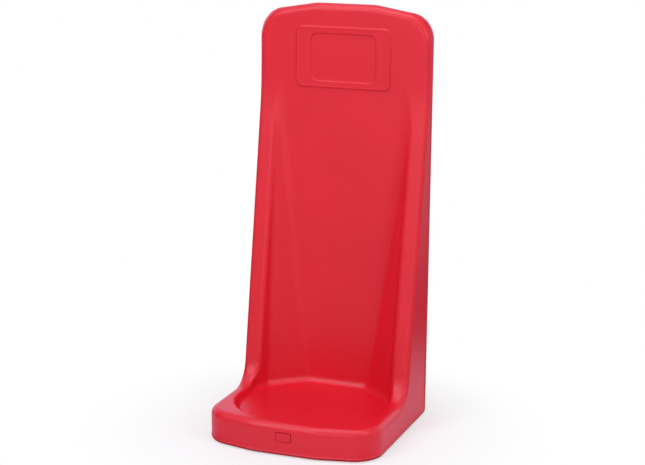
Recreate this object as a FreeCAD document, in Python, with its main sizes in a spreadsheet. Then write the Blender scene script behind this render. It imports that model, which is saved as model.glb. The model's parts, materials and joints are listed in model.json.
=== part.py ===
import FreeCAD, Part
import math
import os

import Sketcher

# Floor stand for one fire extinguisher: a hollow rotationally moulded polyethylene shell with a
# screwed ballast filler, a push-in vent plug, rubber feet and a blank badge plate.
# Frame: millimetres, +Z up, the open front faces -Y, +X to the right seen from the front.
# The origin is the centre of the overall box, at floor level.
# A "depth" is measured forward from the back face; a "half" is measured from the centre plane.

Vector = FreeCAD.Vector
doc = FreeCAD.newDocument("extinguisher_stand")

# ---------------------------------------------------------------- driving dimensions
# (alias in the spreadsheet, value in millimetres; slopes are plain ratios)
DIMS = [
    # overall
    ("height", 710.0), ("depth", 291.0),
    ("half_width_base", 151.5), ("half_width_shoulder", 154.5), ("shoulder_height", 693.0),
    ("foot_proud", 1.5), ("wall", 4.0),
    # arched top
    ("top_flat_half", 53.0), ("shoulder_radius", 38.0),
    # front edge of the base: flat middle, slanted ends, rounded corners
    ("front_flat_half", 55.0), ("front_slant", 0.225), ("front_knee_radius", 120.0),
    ("front_corner_radius", 50.0),
    # side profile
    ("panel_depth", 21.0), ("wing_start_height", 557.0), ("wing_foot_depth", 108.0),
    ("lip_height", 55.0), ("sweep_radius", 46.0),
    # trough, low section at lip height and high section near the top of the wings
    ("crease_low_x", 55.3), ("crease_low_depth", 38.0),
    ("facet_low_x", 112.0), ("facet_low_depth", 86.5),
    ("trough_top_height", 557.0), ("crease_high_x", 122.0), ("crease_high_depth", 21.0),
    ("facet_high_x", 122.7), ("facet_high_depth", 21.6),
    ("wall_slope", 0.466), ("tray_half_width", 128.4),
    # tray
    ("floor_height", 44.5), ("tray_straight_depth", 172.0), ("tray_corner_radius", 90.0),
    ("tray_front_depth", 266.0),
    # roundings
    ("edge_radius", 8.0), ("tray_fillet", 5.0),
    # sign frame
    ("sign_width", 170.0), ("sign_tall", 104.0), ("sign_mid_height", 619.6),
    ("sign_corner", 11.0), ("sign_raise", 2.6),
    ("sign_window_width", 117.0), ("sign_window_tall", 81.0), ("sign_window_corner", 9.0),
    ("sign_window_sink", 2.4),
    # filler on the back: well, boss and threaded insert
    ("filler_x", 100.0), ("filler_height", 200.0),
    ("well_radius", 33.0), ("well_sink", 11.5),
    ("insert_radius", 22.0), ("insert_length", 13.0),
    ("insert_collar_radius", 25.0), ("insert_collar_start", 4.5), ("insert_collar_thick", 4.0),
    ("boss_radius", 29.0), ("boss_length", 15.0),
    # filler thread; the halves are half widths of the tooth or groove along the axis
    ("thread_pitch", 2.309), ("thread_minor_radius", 15.3), ("thread_major_radius", 16.6),
    ("thread_gap", 0.25), ("thread_lead_in", 1.2),
    ("groove_overlap", 0.4), ("groove_mouth_half", 1.02), ("groove_bottom_half", 0.36),
    ("tooth_overlap", 0.3), ("tooth_root_half", 0.85), ("tooth_crest_half", 0.25),
    ("cap_thread_short", 2.6),
    # filler cap and seal
    ("cap_flange_radius", 26.0), ("cap_flange_thick", 4.0), ("cap_flange_bevel", 1.2),
    ("cap_grip_tall", 4.0), ("cap_grip_half_length", 20.0), ("cap_grip_half_width", 4.0),
    ("cap_grip_corner", 3.9),
    ("cap_shank_length", 12.0), ("cap_shank_bevel", 0.8), ("cap_shank_wall", 4.3),
    ("cap_hollow_start", 1.5),
    ("scallop_radius", 4.0), ("scallop_offset", 2.6),
    ("seal_thick", 2.0), ("seal_outer_radius", 23.5), ("seal_inner_radius", 17.2),
    # vent
    ("vent_x", 136.0), ("vent_height", 430.0), ("vent_radius", 6.0), ("vent_stem_slack", 0.05),
    ("vent_well_radius", 13.0), ("vent_well_sink", 3.5),
    ("vent_flange_radius", 9.5), ("vent_flange_thick", 2.2), ("vent_flange_bevel", 1.0),
    ("vent_tip_length", 4.5), ("vent_tip_taper", 1.2),
    # feet
    ("foot_x", 112.0), ("foot_front_depth", 238.0), ("foot_rear_depth", 40.0),
    ("foot_radius", 14.0), ("foot_sink", 2.5), ("foot_stem_radius", 3.95),
    ("foot_head_radius", 6.5), ("foot_head_tall", 5.0), ("foot_head_taper", 2.8),
    ("foot_bevel", 1.0), ("foot_tread", 5.0), ("foot_hollow", 0.6),
    ("foot_pad_margin", 1.0), ("foot_seat_slack", 0.4), ("foot_stem_slack", 0.05),
    # badge
    ("badge_width", 25.8), ("badge_tall", 14.4), ("badge_mid_height", 33.0),
    ("badge_thick", 1.4), ("badge_gap", 0.8), ("badge_corner", 1.0), ("badge_sink", 0.15),
]

SCALLOPS = 14
TRAY_CORNER_ANGLE = math.radians(78)  # swept by each front corner of the tray

# How far a corner of the form moves for each millimetre that the form is set in.
FRONT_FLAT_SHIFT = 0.111
TOP_FLAT_SHIFT = 0.08
WING_SHIFT = 1.015
WING_START_SHIFT = 0.085
CREASE_X_SHIFT = 0.37
FACET_X_SHIFT = 0.815
FACET_DEPTH_SHIFT = 0.619
TROUGH_TOP_SHIFT = 0.5

# How far a cutting shape or blank reaches past what it has to cover.
BLANK_SPARE = 3
BELOW_FLOOR = 10
FRAME_SPARE = 60
CUT_SPARE = 40
TOOL_SPARE = 1
BADGE_CUT_SPARE = 3

sheet = doc.addObject("Spreadsheet::Sheet", "dims")
for row, (alias, value) in enumerate(DIMS, start=1):
    sheet.set("A%d" % row, alias.replace("_", " "))
    sheet.set("B%d" % row, "%g" % value)
    sheet.setAlias("B%d" % row, alias)
doc.recompute()


class Length:
    """A number together with the spreadsheet expression that drives it."""

    def __init__(self, value, text):
        self.value = float(value)
        self.text = text

    @staticmethod
    def of(other):
        return other if isinstance(other, Length) else Length(other, "(%g)" % other)

    def __add__(self, other):
        other = Length.of(other)
        return Length(self.value + other.value, "(%s + %s)" % (self.text, other.text))

    __radd__ = __add__

    def __sub__(self, other):
        other = Length.of(other)
        return Length(self.value - other.value, "(%s - %s)" % (self.text, other.text))

    def __rsub__(self, other):
        return Length.of(other) - self

    def __mul__(self, other):
        other = Length.of(other)
        return Length(self.value * other.value, "(%s * %s)" % (self.text, other.text))

    __rmul__ = __mul__

    def __truediv__(self, other):
        other = Length.of(other)
        return Length(self.value / other.value, "(%s / %s)" % (self.text, other.text))

    def __neg__(self):
        return Length(-self.value, "(-1 * %s)" % self.text)


class Dimensions:
    """Holds every spreadsheet alias as a Length."""


dim = Dimensions()
for alias, _ in DIMS:
    setattr(dim, alias, Length(sheet.get(alias), "dims." + alias))
BACK = dim.depth / 2


def y_at(depth):
    """Y of a plane that lies this far in front of the back face."""
    return BACK - depth


# ---------------------------------------------------------------- sketch helpers
def bind(obj, prop, length):
    obj.setExpression(prop, Length.of(length).text)


def origin_feature(body, role):
    return [f for f in body.Origin.OriginFeatures if f.Role == role][0]


def new_sketch(body, name, plane, offset=None):
    sketch = body.newObject("Sketcher::SketchObject", name)
    sketch.AttachmentSupport = (origin_feature(body, plane), [""])
    sketch.MapMode = "FlatFace"
    if offset is not None:
        bind(sketch, "AttachmentOffset.Base.z", offset)
    return sketch


def pin(sketch, geo, pos, x, y):
    """Tie one sketch point to the sheet, or to an axis where its coordinate is zero."""
    for kind, length, zero_axis in (("DistanceX", x, -2), ("DistanceY", y, -1)):
        length = Length.of(length)
        if abs(length.value) < 1e-9:
            sketch.addConstraint(Sketcher.Constraint("PointOnObject", geo, pos, zero_axis))
        else:
            index = sketch.addConstraint(
                Sketcher.Constraint(kind, -1, 1, geo, pos, length.value))
            bind(sketch, "Constraints[%d]" % index, length)


def flat_vector(point):
    return Vector(Length.of(point[0]).value, Length.of(point[1]).value, 0)


def arc_through(a, m, b):
    """Counter-clockwise arc on the three points, and whether it starts at a."""
    det = 2 * (a.x * (m.y - b.y) + m.x * (b.y - a.y) + b.x * (a.y - m.y))
    aa, mm, bb = a.x**2 + a.y**2, m.x**2 + m.y**2, b.x**2 + b.y**2
    centre = Vector(
        (aa * (m.y - b.y) + mm * (b.y - a.y) + bb * (a.y - m.y)) / det,
        (aa * (b.x - m.x) + mm * (a.x - b.x) + bb * (m.x - a.x)) / det,
        0,
    )
    forward = (m - a).cross(b - m).z > 0
    first, last = (a, b) if forward else (b, a)
    angle_first = math.atan2(first.y - centre.y, first.x - centre.x)
    angle_last = math.atan2(last.y - centre.y, last.x - centre.x)
    while angle_last <= angle_first:
        angle_last += 2 * math.pi
    circle = Part.Circle(centre, Vector(0, 0, 1), (a - centre).Length)
    return Part.ArcOfCircle(circle, angle_first, angle_last), forward


def loop(sketch, points, arcs=None):
    """Closed loop of (x, y) points. arcs maps a segment index to a point its arc runs through."""
    arcs = arcs or {}
    corners = [flat_vector(point) for point in points]
    count = len(points)
    ends = []  # (geometry, start point, end point) along the loop
    for i in range(count):
        start, end = corners[i], corners[(i + 1) % count]
        if i in arcs:
            shape, forward = arc_through(start, flat_vector(arcs[i]), end)
        else:
            shape, forward = Part.LineSegment(start, end), True
        geo = sketch.addGeometry(shape, False)
        ends.append((geo, 1, 2) if forward else (geo, 2, 1))
    for i in range(count):
        geo, _, end = ends[i]
        next_geo, next_start, _ = ends[(i + 1) % count]
        sketch.addConstraint(Sketcher.Constraint("Coincident", geo, end, next_geo, next_start))
    for (geo, start, _), (x, y) in zip(ends, points):
        pin(sketch, geo, start, x, y)
    for i, through in arcs.items():
        mid = sketch.addGeometry(Part.Point(flat_vector(through)), True)
        pin(sketch, mid, 1, through[0], through[1])
        sketch.addConstraint(Sketcher.Constraint("PointOnObject", mid, 1, ends[i][0]))


def rounded_box_loop(sketch, mid_y, half_width, half_tall, radius):
    """Rectangle with rounded corners, centred at (0, mid_y)."""
    inward = radius * (1 - math.sqrt(0.5))
    x0, x1, y0, y1 = -half_width, half_width, mid_y - half_tall, mid_y + half_tall
    points = [
        (x0 + radius, y0), (x1 - radius, y0), (x1, y0 + radius), (x1, y1 - radius),
        (x1 - radius, y1), (x0 + radius, y1), (x0, y1 - radius), (x0, y0 + radius),
    ]
    arcs = {
        1: (x1 - inward, y0 + inward), 3: (x1 - inward, y1 - inward),
        5: (x0 + inward, y1 - inward), 7: (x0 + inward, y0 + inward),
    }
    loop(sketch, points, arcs)


# ---------------------------------------------------------------- body helpers
def new_body(name):
    return doc.addObject("PartDesign::Body", name)


def extrude(kind, body, name, sketch, length, reverse):
    feature = body.newObject(kind, name)
    feature.Profile = sketch
    feature.Length = length.value
    bind(feature, "Length", length)
    feature.Reversed = reverse
    doc.recompute()
    return feature


def pad(body, name, sketch, length, reverse=False):
    return extrude("PartDesign::Pad", body, name, sketch, length, reverse)


def pocket(body, name, sketch, length, reverse=False):
    return extrude("PartDesign::Pocket", body, name, sketch, length, reverse)


def pocket_through(body, name, sketch):
    feature = body.newObject("PartDesign::Pocket", name)
    feature.Profile = sketch
    feature.Type = "ThroughAll"
    feature.SideType = "Symmetric"
    doc.recompute()


def turn(body, name, section):
    """Solid turned about the body's Z axis from (radius, z) points."""
    sketch = new_sketch(body, name + "_section", "XZ_Plane")
    loop(sketch, section)
    feature = body.newObject("PartDesign::Revolution", name)
    feature.Profile = sketch
    feature.ReferenceAxis = (origin_feature(body, "Z_Axis"), [""])
    feature.Angle = 360
    doc.recompute()


def fillet(body, name, test, radius):
    """Round the edges whose middle, start and end points pass the test."""
    base = body.Tip
    names = []
    for i, edge in enumerate(base.Shape.Edges, start=1):
        low, high = edge.ParameterRange
        if test(edge.valueAt((low + high) / 2), edge.valueAt(low), edge.valueAt(high)):
            names.append("Edge%d" % i)
    feature = body.newObject("PartDesign::Fillet", name)
    feature.Base = (base, names)
    feature.Radius = radius.value
    bind(feature, "Radius", radius)
    doc.recompute()


def near(a, b, tolerance=0.3):
    return abs(a - b) < tolerance


# ---------------------------------------------------------------- moulded form
# Each step takes the inset: 0 for the outside, the wall for the space inside it.
def front_flat(inset):
    return dim.front_flat_half - inset * FRONT_FLAT_SHIFT


def add_blank(body, inset):
    """Full-height block on the plan of the base."""
    bottom = dim.foot_proud + inset
    top = dim.height - inset
    back = BACK - inset
    side = dim.half_width_shoulder + BLANK_SPARE
    front = y_at(dim.depth) + inset
    flat = front_flat(inset)
    slant_end = front + (side - flat) * dim.front_slant
    sketch = new_sketch(body, body.Name + "_plan", "XY_Plane", bottom)
    loop(sketch, [
        (-side, back), (-side, slant_end), (-flat, front),
        (flat, front), (side, slant_end), (side, back),
    ])
    pad(body, body.Name + "_blank", sketch, top - bottom)


def cut_outline(body, inset):
    """Arched front outline with slightly splayed sides."""
    base = dim.half_width_base - inset
    shoulder = dim.half_width_shoulder - inset
    shoulder_z = dim.shoulder_height - inset
    top = dim.height - inset
    top_flat = dim.top_flat_half - inset * TOP_FLAT_SHIFT
    sketch = new_sketch(body, body.Name + "_outline", "XZ_Plane")
    loop(sketch, [
        (-base, -BELOW_FLOOR), (base, -BELOW_FLOOR), (shoulder, shoulder_z),
        (top_flat, top), (-top_flat, top), (-shoulder, shoulder_z),
    ])
    frame = dim.half_width_shoulder + FRAME_SPARE
    frame_top = dim.height + CUT_SPARE
    loop(sketch, [
        (-frame, -CUT_SPARE), (frame, -CUT_SPARE), (frame, frame_top), (-frame, frame_top),
    ])
    pocket_through(body, body.Name + "_outline_cut", sketch)

    def is_shoulder(mid, start, end):
        return (near(abs(mid.x), shoulder.value, 0.5) and near(mid.z, shoulder_z.value, 0.5)
                and near(start.z, end.z))

    fillet(body, body.Name + "_shoulders", is_shoulder, dim.shoulder_radius - inset)


def cut_side_profile(body, inset):
    """Side profile: upright panel, wings that lean forward, level lip."""
    rise = dim.wing_start_height - dim.lip_height
    lean = (dim.wing_foot_depth - dim.panel_depth) / rise
    panel_y = y_at(dim.panel_depth - inset)
    wing_foot_y = y_at(dim.wing_foot_depth - inset * WING_SHIFT + inset * lean)
    ahead_y = y_at(dim.depth + CUT_SPARE)
    lip = dim.lip_height - inset
    above = dim.height + CUT_SPARE
    sketch = new_sketch(body, body.Name + "_profile", "YZ_Plane")
    loop(sketch, [
        (panel_y, above), (panel_y, dim.wing_start_height - inset * WING_START_SHIFT),
        (wing_foot_y, lip), (ahead_y, lip), (ahead_y, above),
    ])
    pocket_through(body, body.Name + "_profile_cut", sketch)

    flat = front_flat(inset)

    def is_front_upright(mid, start, end):
        return abs(start.z - end.z) > 40 and mid.z < lip.value and mid.y < -100

    def is_corner(mid, start, end):
        return is_front_upright(mid, start, end) and abs(mid.x) > 100

    def is_knee(mid, start, end):
        return is_front_upright(mid, start, end) and near(abs(mid.x), flat.value, 1)

    def is_sweep(mid, start, end):
        return near(mid.y, wing_foot_y.value, 0.5) and near(mid.z, lip.value, 0.2)

    fillet(body, body.Name + "_front_corners", is_corner, dim.front_corner_radius - inset)
    fillet(body, body.Name + "_front_knees", is_knee, dim.front_knee_radius - inset)
    fillet(body, body.Name + "_sweep", is_sweep, dim.sweep_radius + inset)


def round_rim(body):
    """Round the front edge of the panel top, the wings and the base lip."""
    lip_z = dim.lip_height.value
    panel_y = y_at(dim.panel_depth).value
    splay = (dim.half_width_shoulder.value - dim.half_width_base.value)

    def is_rim(mid, start, end):
        if mid.y > BACK.value - 10:
            return False
        if mid.z > 655 and near(mid.y, panel_y):
            return True
        side_x = dim.half_width_base.value + splay * mid.z / dim.shoulder_height.value
        if abs(mid.x) > side_x - 0.8 and mid.z > lip_z - 1 and abs(start.x - end.x) < 6:
            return True
        return near(mid.z, lip_z) and (mid.y < -125 or abs(mid.x) > 139)

    fillet(body, body.Name + "_rim", is_rim, dim.edge_radius)


def trough_half(inset, crease_x, crease_depth, facet_x, facet_depth):
    """Right half of a trough section as (x, depth): crease, facet end, start of the side."""
    facet_x = facet_x + inset * FACET_X_SHIFT
    facet_depth = facet_depth - inset * FACET_DEPTH_SHIFT
    tray_x = dim.tray_half_width + inset
    return [
        (crease_x + inset * CREASE_X_SHIFT, crease_depth - inset),
        (facet_x, facet_depth),
        (tray_x, facet_depth + (tray_x - facet_x) / dim.wall_slope),
    ]


def low_trough_half(inset):
    return trough_half(inset, dim.crease_low_x, dim.crease_low_depth,
                       dim.facet_low_x, dim.facet_low_depth)


def both_sides(half):
    """Mirror a half section of (x, depth) points into a whole one of (x, y) points."""
    right = [(x, y_at(depth)) for x, depth in half]
    return right + [(-x, y) for x, y in reversed(right)]


def cut_trough(body, inset):
    """Faceted trough between the wings."""
    high_half = trough_half(inset, dim.crease_high_x, dim.crease_high_depth,
                            dim.facet_high_x, dim.facet_high_depth)
    sketches = []
    for level, half, z in (
        ("low", low_trough_half(inset), dim.lip_height - inset),
        ("high", high_half, dim.trough_top_height + inset * TROUGH_TOP_SHIFT),
    ):
        sketch = new_sketch(body, body.Name + "_trough_" + level, "XY_Plane", z)
        loop(sketch, both_sides(half + [(half[-1][0], dim.depth + CUT_SPARE)]))
        sketches.append(sketch)
    feature = body.newObject("PartDesign::SubtractiveLoft", body.Name + "_trough")
    feature.Profile = sketches[0]
    feature.Sections = [sketches[1]]
    feature.Ruled = True
    doc.recompute()


def cut_tray(body, inset):
    """Tray for the foot of the extinguisher."""
    radius = dim.tray_corner_radius + inset
    straight = dim.tray_straight_depth
    half = low_trough_half(inset)
    tray_x = half[-1][0]
    centre_x = tray_x - radius

    def on_corner(angle):
        return centre_x + radius * math.cos(angle), straight + radius * math.sin(angle)

    half += [(tray_x, straight), on_corner(TRAY_CORNER_ANGLE)]
    mid_x, mid_depth = on_corner(TRAY_CORNER_ANGLE / 2)
    count = len(half)
    arcs = {
        count - 2: (mid_x, y_at(mid_depth)),
        count - 1: (0, y_at(dim.tray_front_depth + inset)),
        count: (-mid_x, y_at(mid_depth)),
    }
    sketch = new_sketch(body, body.Name + "_tray_plan", "XY_Plane", dim.lip_height - inset)
    loop(sketch, both_sides(half), arcs)
    pocket(body, body.Name + "_tray", sketch, dim.lip_height - dim.floor_height)


def round_tray_foot(body):
    floor_z = dim.floor_height.value

    def is_tray_foot(mid, start, end):
        return (near(mid.z, floor_z) and near(start.z, end.z)
                and abs(mid.x) < 130 and -125 < mid.y < 120)

    fillet(body, body.Name + "_tray_foot", is_tray_foot, dim.tray_fillet)


def add_sign_frame(body):
    """Raised border with a sunk window, on the front of the panel."""
    sketch = new_sketch(body, body.Name + "_sign_plan", "XZ_Plane", -y_at(dim.panel_depth))
    rounded_box_loop(sketch, dim.sign_mid_height,
                     dim.sign_width / 2, dim.sign_tall / 2, dim.sign_corner)
    pad(body, body.Name + "_sign_border", sketch, dim.sign_raise)
    sketch = new_sketch(body, body.Name + "_sign_window_plan", "XZ_Plane",
                        -y_at(dim.panel_depth + dim.sign_raise))
    rounded_box_loop(sketch, dim.sign_mid_height, dim.sign_window_width / 2,
                     dim.sign_window_tall / 2, dim.sign_window_corner)
    pocket(body, body.Name + "_sign_window", sketch, dim.sign_window_sink)


def build_outer_form():
    body = new_body("outer_form")
    add_blank(body, 0)
    cut_outline(body, 0)
    cut_side_profile(body, 0)
    round_rim(body)
    cut_trough(body, 0)
    cut_tray(body, 0)
    round_tray_foot(body)
    add_sign_frame(body)
    body.Label = "moulding_outside"
    return body


def build_space_form():
    body = new_body("space_form")
    for step in (add_blank, cut_outline, cut_side_profile, cut_trough, cut_tray):
        step(body, dim.wall)
    body.Label = "moulding_inside"
    return body


# ---------------------------------------------------------------- tools for the shell
TO_FRONT = FreeCAD.Rotation(Vector(1, 0, 0), 90)  # local +Z runs from the back into the stand
FILLER = (dim.filler_x, dim.filler_height)  # (x, z) on the back face
VENT = (-dim.vent_x, dim.vent_height)
FEET = [  # (name, x, depth)
    ("front_left", -dim.foot_x, dim.foot_front_depth),
    ("front_right", dim.foot_x, dim.foot_front_depth),
    ("rear_left", -dim.foot_x, dim.foot_rear_depth),
    ("rear_right", dim.foot_x, dim.foot_rear_depth),
]
BOSS_END = dim.well_sink + dim.boss_length
FOOT_ROOF = dim.foot_proud + dim.foot_sink
COLLAR_START = dim.well_sink + dim.insert_collar_start


def put(obj, x, y, z, rotation=None):
    """Place an object at sheet-driven coordinates."""
    x, y, z = Length.of(x), Length.of(y), Length.of(z)
    obj.Placement = FreeCAD.Placement(
        Vector(x.value, y.value, z.value), rotation or FreeCAD.Rotation())
    for axis, length in (("x", x), ("y", y), ("z", z)):
        if abs(length.value) > 1e-9:
            bind(obj, "Placement.Base." + axis, length)


def cylinder(name, radius, length, x, y, z, rotation=None):
    tool = doc.addObject("Part::Cylinder", name)
    bind(tool, "Radius", radius)
    bind(tool, "Height", length)
    put(tool, x, y, z, rotation)
    return tool


def back_cylinder(name, place, radius, start, end):
    """Cylinder square to the back face, between two depths."""
    return cylinder(name, radius, end - start, place[0], y_at(start), place[1], TO_FRONT)


def foot_cylinders(name, radius, bottom, top):
    """Upright cylinders at the four feet, between two heights."""
    return [
        cylinder(name + where, radius, top - bottom, x, y_at(depth), bottom)
        for where, x, depth in FEET
    ]


def badge_seat():
    gap = dim.badge_gap
    width = dim.badge_width + gap * 2
    tool = doc.addObject("Part::Box", "badge_seat")
    bind(tool, "Length", width)
    bind(tool, "Width", dim.badge_thick + BADGE_CUT_SPARE)
    bind(tool, "Height", dim.badge_tall + gap * 2)
    put(tool, -width / 2, y_at(dim.depth) - BADGE_CUT_SPARE,
        dim.badge_mid_height - dim.badge_tall / 2 - gap)
    return tool


def fuse(name, parts):
    result = doc.addObject("Part::MultiFuse", name)
    result.Shapes = parts
    doc.recompute()
    return result


def cut(name, base, tool):
    result = doc.addObject("Part::Cut", name)
    result.Base = base
    result.Tool = tool
    doc.recompute()
    return result


def build_stand_body():
    outer = build_outer_form()
    space = build_space_form()
    wall = dim.wall
    bosses = [
        back_cylinder("filler_well_wall", FILLER, dim.well_radius + wall,
                      0, dim.well_sink + wall),
        back_cylinder("filler_boss", FILLER, dim.boss_radius, 0, BOSS_END),
        back_cylinder("vent_well_wall", VENT, dim.vent_well_radius + wall,
                      0, dim.vent_well_sink + wall),
    ]
    bosses += foot_cylinders("foot_pad_", dim.foot_radius + wall + dim.foot_pad_margin,
                             dim.foot_proud, FOOT_ROOF + wall)
    moulding = cut("moulding", outer, cut("water_space", space, fuse("space_bosses", bosses)))

    below = dim.foot_proud - TOOL_SPARE
    openings = [
        back_cylinder("filler_well", FILLER, dim.well_radius, -TOOL_SPARE, dim.well_sink),
        back_cylinder("filler_bore", FILLER, dim.insert_radius,
                      -TOOL_SPARE, BOSS_END + TOOL_SPARE),
        back_cylinder("filler_collar_groove", FILLER, dim.insert_collar_radius,
                      COLLAR_START, COLLAR_START + dim.insert_collar_thick),
        back_cylinder("vent_well", VENT, dim.vent_well_radius,
                      -TOOL_SPARE, dim.vent_well_sink),
        back_cylinder("vent_hole", VENT, dim.vent_radius,
                      -TOOL_SPARE, dim.vent_well_sink + wall + TOOL_SPARE),
        badge_seat(),
    ]
    openings += foot_cylinders("foot_seat_", dim.foot_radius + dim.foot_seat_slack,
                               below, FOOT_ROOF)
    openings += foot_cylinders("foot_hole_", dim.foot_stem_radius + dim.foot_stem_slack,
                               below, FOOT_ROOF + wall + TOOL_SPARE)
    stand = cut("stand_body_cut", moulding, fuse("openings", openings))
    stand.Label = "stand_body"
    return stand


# ---------------------------------------------------------------- filler closure
# Pieces on the back are modelled about local Z, which is the depth in front of the back face.
THREAD_START = dim.well_sink + dim.thread_lead_in


def put_on_back(body, place):
    put(body, place[0], BACK, place[1], TO_FRONT)
    return body


def helix_thread(kind, body, name, inner, outer, half_inner, half_outer, first, length):
    """Trapezoid thread between two radii, wound about the body's Z axis."""
    sketch = new_sketch(body, name + "_profile", "XZ_Plane")
    loop(sketch, [
        (inner, first - half_inner), (outer, first - half_outer),
        (outer, first + half_outer), (inner, first + half_inner),
    ])
    feature = body.newObject(kind, name)
    feature.Profile = sketch
    feature.ReferenceAxis = (origin_feature(body, "Z_Axis"), [""])
    feature.Mode = "pitch-height-angle"
    feature.Pitch = dim.thread_pitch.value
    bind(feature, "Pitch", dim.thread_pitch)
    feature.Height = length.value
    bind(feature, "Height", length)
    feature.Angle = 0
    feature.LeftHanded = False
    feature.Reversed = False
    doc.recompute()


def build_filler_insert():
    body = new_body("filler_insert")
    start, end = dim.well_sink, dim.well_sink + dim.insert_length
    collar_end = COLLAR_START + dim.insert_collar_thick
    bore = dim.thread_minor_radius + dim.thread_gap
    radius, collar = dim.insert_radius, dim.insert_collar_radius
    turn(body, "insert_ring", [
        (bore, start), (radius, start), (radius, COLLAR_START), (collar, COLLAR_START),
        (collar, collar_end), (radius, collar_end), (radius, end), (bore, end),
    ])
    # the groove runs out past both ends of the ring
    helix_thread(
        "PartDesign::SubtractiveHelix", body, "insert_thread",
        inner=bore - dim.groove_overlap, outer=dim.thread_major_radius + dim.thread_gap,
        half_inner=dim.groove_mouth_half, half_outer=dim.groove_bottom_half,
        first=THREAD_START - dim.thread_pitch * 2,
        length=dim.insert_length + dim.thread_pitch * 3,
    )
    return put_on_back(body, FILLER)


def build_filler_seal():
    body = new_body("filler_seal")
    start, end = dim.well_sink - dim.seal_thick, dim.well_sink
    inner, outer = dim.seal_inner_radius, dim.seal_outer_radius
    turn(body, "seal_ring", [(inner, start), (outer, start), (outer, end), (inner, end)])
    return put_on_back(body, FILLER)


def cut_scallops(body, face):
    """Ring of round notches in the edge of the cap flange."""
    overlap = 0.5  # the notch cutter starts this far outside the flange face
    centre_x = dim.cap_flange_radius + dim.scallop_offset
    radius = dim.scallop_radius
    sketch = new_sketch(body, "cap_scallop_plan", "XY_Plane", face - overlap)
    circle = sketch.addGeometry(
        Part.Circle(Vector(centre_x.value, 0, 0), Vector(0, 0, 1), radius.value), False)
    pin(sketch, circle, 3, centre_x, 0)
    index = sketch.addConstraint(Sketcher.Constraint("Radius", circle, radius.value))
    bind(sketch, "Constraints[%d]" % index, radius)
    scallop = pocket(body, "cap_scallop", sketch,
                     dim.cap_flange_thick + overlap * 2, reverse=True)
    pattern = body.newObject("PartDesign::PolarPattern", "cap_scallops")
    pattern.Originals = [scallop]
    pattern.Axis = (origin_feature(body, "Z_Axis"), [""])
    pattern.Angle = 360
    pattern.Occurrences = SCALLOPS
    body.Tip = pattern
    doc.recompute()


def build_filler_cap():
    body = new_body("filler_cap")
    under = dim.well_sink - dim.seal_thick
    face = under - dim.cap_flange_thick
    shank_end = under + dim.seal_thick + dim.cap_shank_length
    hollow_start = under + dim.cap_hollow_start
    shank, flange = dim.thread_minor_radius, dim.cap_flange_radius
    hollow = shank - dim.cap_shank_wall
    flange_bevel, shank_bevel = dim.cap_flange_bevel, dim.cap_shank_bevel
    turn(body, "cap_turned", [
        (0, face), (flange - flange_bevel, face), (flange, face + flange_bevel),
        (flange, under), (shank, under),
        (shank, shank_end - shank_bevel), (shank - shank_bevel, shank_end),
        (hollow, shank_end), (hollow, hollow_start), (0, hollow_start),
    ])
    sketch = new_sketch(body, "cap_grip_plan", "XY_Plane", face)
    rounded_box_loop(sketch, 0, dim.cap_grip_half_length, dim.cap_grip_half_width,
                     dim.cap_grip_corner)
    pad(body, "cap_grip", sketch, dim.cap_grip_tall, reverse=True)
    cut_scallops(body, face)
    helix_thread(
        "PartDesign::AdditiveHelix", body, "cap_thread",
        inner=shank - dim.tooth_overlap, outer=dim.thread_major_radius,
        half_inner=dim.tooth_root_half, half_outer=dim.tooth_crest_half,
        first=THREAD_START, length=dim.cap_shank_length - dim.cap_thread_short,
    )
    return put_on_back(body, FILLER)


# ---------------------------------------------------------------- vent plug, feet, badge
def build_vent_plug():
    body = new_body("vent_plug")
    seat = dim.vent_well_sink
    face = seat - dim.vent_flange_thick
    stem_end = seat + dim.wall
    tip = stem_end + dim.vent_tip_length
    stem = dim.vent_radius - dim.vent_stem_slack
    flange, bevel = dim.vent_flange_radius, dim.vent_flange_bevel
    turn(body, "vent_turned", [
        (0, face), (flange - bevel, face), (flange, face + bevel), (flange, seat),
        (stem, seat), (stem, stem_end), (stem - dim.vent_tip_taper, tip), (0, tip),
    ])
    return put_on_back(body, VENT)


def build_foot(where, x, depth):
    """Foot with a shallow hollow under it and a stem and tapered head above."""
    body = new_body("foot_" + where)
    radius, stem, head = dim.foot_radius, dim.foot_stem_radius, dim.foot_head_radius
    hollow, bevel = dim.foot_hollow, dim.foot_bevel
    hollow_radius = radius - dim.foot_tread
    stem_top = FOOT_ROOF + dim.wall
    head_top = stem_top + dim.foot_head_tall
    turn(body, "turned_" + where, [
        (0, hollow), (hollow_radius, hollow), (hollow_radius - hollow, 0),
        (radius - bevel, 0), (radius, bevel), (radius, FOOT_ROOF),
        (stem, FOOT_ROOF), (stem, stem_top), (head, stem_top),
        (head - dim.foot_head_taper, head_top), (0, head_top),
    ])
    put(body, x, y_at(depth), 0)
    return body


def build_badge_plate():
    body = new_body("badge_plate")
    sketch = new_sketch(body, "badge_outline", "XZ_Plane", dim.depth / 2 - dim.badge_thick)
    rounded_box_loop(sketch, dim.badge_mid_height,
                     dim.badge_width / 2, dim.badge_tall / 2, dim.badge_corner)
    pad(body, "badge_blank", sketch, dim.badge_thick - dim.badge_sink)
    return body


# ---------------------------------------------------------------- build, check and export
pieces = [build_stand_body(), build_filler_insert(), build_filler_seal(), build_filler_cap(),
          build_vent_plug()]
pieces += [build_foot(where, x, depth) for where, x, depth in FEET]
pieces.append(build_badge_plate())

doc.recompute()
faults = []
for obj in doc.Objects:
    if "Invalid" in obj.State or "Error" in obj.State:
        faults.append("%s %s" % (obj.Name, obj.State))
for piece in pieces:
    if piece.Shape.isNull() or not piece.Shape.isValid():
        faults.append(piece.Label + " has no valid shape")
    elif len(piece.Shape.Solids) != 1:
        faults.append("%s has %d solids" % (piece.Label, len(piece.Shape.Solids)))
if faults:
    raise RuntimeError("; ".join(faults))

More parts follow.
